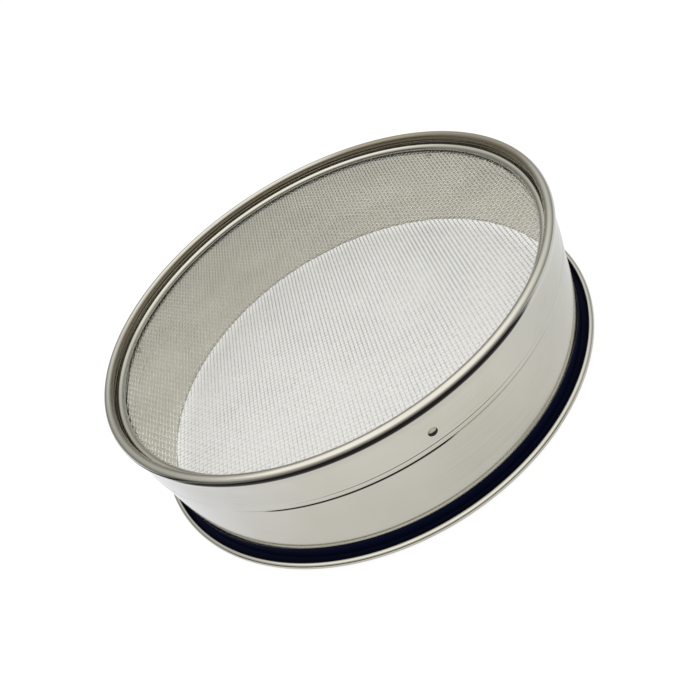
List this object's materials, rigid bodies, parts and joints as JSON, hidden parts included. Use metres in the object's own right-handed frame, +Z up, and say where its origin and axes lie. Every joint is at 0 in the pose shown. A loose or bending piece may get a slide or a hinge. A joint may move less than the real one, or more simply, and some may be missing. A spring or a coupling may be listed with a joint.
{
  "type": "flour sieve",
  "caption": "Round flour sieve: a flat woven wire mesh below the rolled rim of a polished stainless drum with a collar band and a flared foot.",
  "frame": {"origin": "centre of the foot, in the plane that the sieve stands on", "axes": "+Z up along the drum's axis to the mesh end; -Y is the side of the drum that faces the camera in the picture"},
  "size_m": [0.2286, 0.2286, 0.0587],
  "materials": {
    "polished_sheet": "polished stainless sheet with fine turning marks",
    "mesh_wire": "drawn stainless wire, plain weave",
    "core_wire": "dull drawn wire",
    "rivet_steel": "satin steel"
  },
  "bodies": {
    "root": {"drum_wall": "polished_sheet", "collar_band": "polished_sheet", "mesh_ring": "polished_sheet", "mesh_cloth": "mesh_wire", "foot_wire": "core_wire", "rim_wire": "core_wire", "collar_rivet_1": "rivet_steel", "collar_rivet_2": "rivet_steel", "collar_rivet_3": "rivet_steel"}
  },
  "joints": []
}
